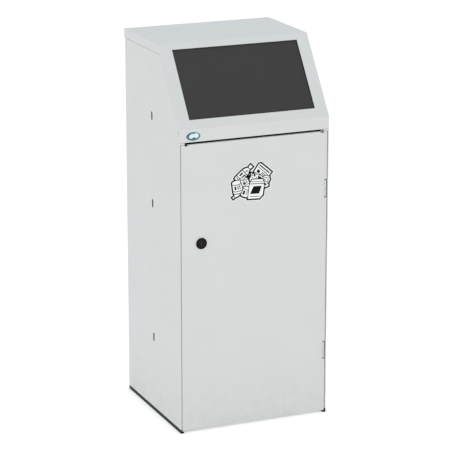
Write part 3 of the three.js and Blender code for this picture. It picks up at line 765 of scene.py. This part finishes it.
def pictogram_items():
    """Household recyclables, each as an outline, its place, turn and scale, and the black
    patches and lines on it, in millimetres."""
    bottle = [(-7, -22), (7, -22), (8, -19), (8, 4), (6.5, 9), (3.2, 14), (3, 20), (3.6, 20.5),
        (3.6, 24), (-3.6, 24), (-3.6, 20.5), (-3, 20), (-3.2, 14), (-6.5, 9), (-8, 4), (-8, -19)]
    tin = [*arc((0, -13), 12, 3.6, 180, 360), *arc((0, 13), 12, 3.6, 0, 180)]
    jar = [(-9, -15), (9, -15), (10.5, -12), (10.5, 8), (8, 12), (8, 17), (-8, 17), (-8, 12),
        (-10.5, 8), (-10.5, -12)]
    carton = [(-15, -19), (10, -19), (17, -12), (19, 12), (15, 21), (-8, 21), (-13, 12)]
    packet = [(-20, -13), (17, -15), (20, -12), (21, 12), (-17, 15), (-21, 11)]
    crushed = [(-9, -14), (2, -16), (9, -12), (7, -3), (11, 5), (8, 14), (-3, 16), (-10, 12),
        (-7, 3), (-11, -5)]
    paper = [(-10, -11), (8, -12), (12, -6), (10, 3), (13, 10), (5, 8), (0, 12), (-5, 8),
        (-13, 10), (-9, 2), (-12, -5)]
    return [
        (bottle, (-44, -30), 128, 0.7, [stroke([(-3.5, 16), (3.5, 16)], 2.4)]),
        (packet, (31, 27), -37, 1.08, [
            stroke([(-18, 10), (18, 7)], 3.2), stroke([(-18, 4), (18, 1)], 1.8),
            [(-15, -9), (-6, -10), (-6, -2), (-15, -1)], stroke([(-1, -2), (15, -3.5)], 2.0),
            stroke([(-1, -6), (13, -7.5)], 2.2), stroke([(-1, -10), (15, -11.5)], 2.2)]),
        (bottle, (-25, 27), -49, 1.28, [
            stroke([(-8, -14), (8, -14)], 1.6), stroke([(-8, 3), (8, 3)], 1.8),
            stroke([(-3.6, 16), (3.6, 16)], 2.0), [(-5, -10), (-1, -10), (-1, -1), (-5, -1)],
            stroke([(3.5, -11), (3.5, 0)], 2.4), stroke([(-6, -17.5), (6, -17.5)], 1.8),
            stroke([(-1, 6), (3, 11)], 2.4)]),
        (crushed, (41, -2), -8, 1.0, [
            stroke([(-8, 9), (0, 11), (8, 9)], 1.8), stroke([(-6, 2), (3, -1), (8, 3)], 2.4),
            stroke([(-9, 5.5), (-2, 5)], 2.0), stroke([(4, -3), (8, -7)], 2.4),
            [(-6, -11), (2, -12), (3, -6), (-5, -5)], stroke([(2, 5), (7, 6)], 1.5)]),
        (tin, (-44, -10), 8, 1.12, [
            stroke(arc((0, 9), 11.4, 3.4, 180, 360), 1.9),
            stroke(arc((0, -8), 11.4, 3.4, 180, 360), 1.9),
            [(-8, -6), (-3, -7), (-3, 2), (-8, 3)], stroke([(1.5, -7), (1.5, 3)], 2.4),
            stroke([(6.5, -6), (6.5, 4)], 2.4)]),
        (jar, (-21, 1), 27, 0.98, [
            stroke([(-8, 12), (8, 12)], 2.2), stroke([(-10.5, 5), (10.5, 5)], 1.4),
            stroke([(-10.5, -8), (10.5, -8)], 1.4), [(-7, -5), (1, -5), (1, 2), (-7, 2)],
            stroke([(5, -5), (5, 2)], 2.8), stroke([(-5, 8.5), (6, 8.5)], 1.8)]),
        (paper, (6, 13), -14, 1.02, [
            [(-4, 8), (0, 11), (3, 7), (1, 2), (-3, 3)], stroke([(-8, -6), (0, -8), (7, -7)], 2.4),
            stroke([(-9, 7), (-6, 3)], 2.4), stroke([(1, -4), (6, -3)], 2.4),
            stroke([(-7, 0), (-2, -3)], 1.8), stroke([(4, 3), (8, -2)], 1.8)]),
        (tin, (-19, -26), -22, 0.86, [
            stroke(arc((0, 10), 11.4, 3.2, 180, 360), 2.2),
            [(-9, -10), (-2, -11), (-2, 2), (-9, 3)], stroke([(4, -10), (4, 4)], 2.2)]),
        (carton, (9, -22), -3, 1.36, [
            stroke([(-13, 12), (19, 12)], 1.6), stroke([(-10, 16.5), (16, 16.5)], 1.2),
            [(-11, -9), (9, -9), (14, 7), (-4, 7)], stroke([(-11, -14.5), (11, -14.5)], 1.3)]),
    ]


def build_label():
    """A die-cut white film with the items printed on it in black, all in one flat layer."""
    low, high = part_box("pictogram_label")
    centre = (low + high) / 2
    layers = []
    items = pictogram_items()
    for outline, at, turn, scale, _ in items:
        layers.append((grown(placed(outline, at, turn, scale), FILM_MARGIN), 0))
    for outline, at, turn, scale, _ in items:
        layers.append((grown(placed(outline, at, turn, scale), CONTOUR), 1))
    shadow = [(-50, -34), (-20, -42), (30, -44), (44, -10), (46, 12), (22, 34), (0, 24), (-34, 14)]
    layers.append((shadow, 1))
    for outline, at, turn, scale, marks in items:
        edge = placed(outline, at, turn, scale)
        layers.append((grown(edge, OUTLINE), 1))
        layers.append((edge, 0))
        layers += [(placed(mark, at, turn, scale), 1) for mark in marks]
    spots = [p for points, _ in layers for p in points]
    span = [(min(p[i] for p in spots), max(p[i] for p in spots)) for i in (0, 1)]
    half = ((high.x - low.x) / 2, (high.z - low.z) / 2)
    fit = [FILM_SHARE * 2 * half[i] / (span[i][1] - span[i][0]) for i in (0, 1)]
    middle = [(a + b) / 2 for a, b in span]

    verts, faces = [], []
    for points, _ in layers:
        faces.append(list(range(len(verts), len(verts) + len(points))))
        verts += [
            Vector(((x - middle[0]) * fit[0], (y - middle[1]) * fit[1]))
            for x, y in wound(points)]
    cut = delaunay_2d_cdt(verts, [], faces, 1, 1e-6)
    bm = bmesh.new()
    made = [bm.verts.new((centre.x + v.x, low.y, centre.z + v.y)) for v in cut[0]]
    for face, origin in zip(cut[2], cut[5]):
        if origin:
            f = bm.faces.new([made[i] for i in face])
            f.material_index = layers[max(origin)][1]
    bmesh.ops.delete(bm, geom=[v for v in bm.verts if not v.link_faces], context="VERTS")
    printed = set(bm.faces)
    moved = bmesh.ops.extrude_face_region(bm, geom=list(printed), use_keep_orig=True)["geom"]
    for v in moved:
        if isinstance(v, bmesh.types.BMVert):
            v.co.y = high.y - FILM_STANDOFF
    for f in bm.faces:
        if f not in printed:
            f.material_index = 0
    mesh = mesh_of("pictogram_film", bm)
    piece("pictogram_film", mesh, "door", [FILM_WHITE, FILM_BLACK],
        ["pictogram_label"])


add_camera()
add_studio()
build_sheet_metal()
build_turned()
build_pads()
build_lock()
build_springs()
build_handles()
build_badge()
build_label()

for name, obj in frame["nodes"].items():
    obj.data.materials.clear()
    obj.data.materials.append(SLOT_MATERIAL[NODE_SLOT[name]])
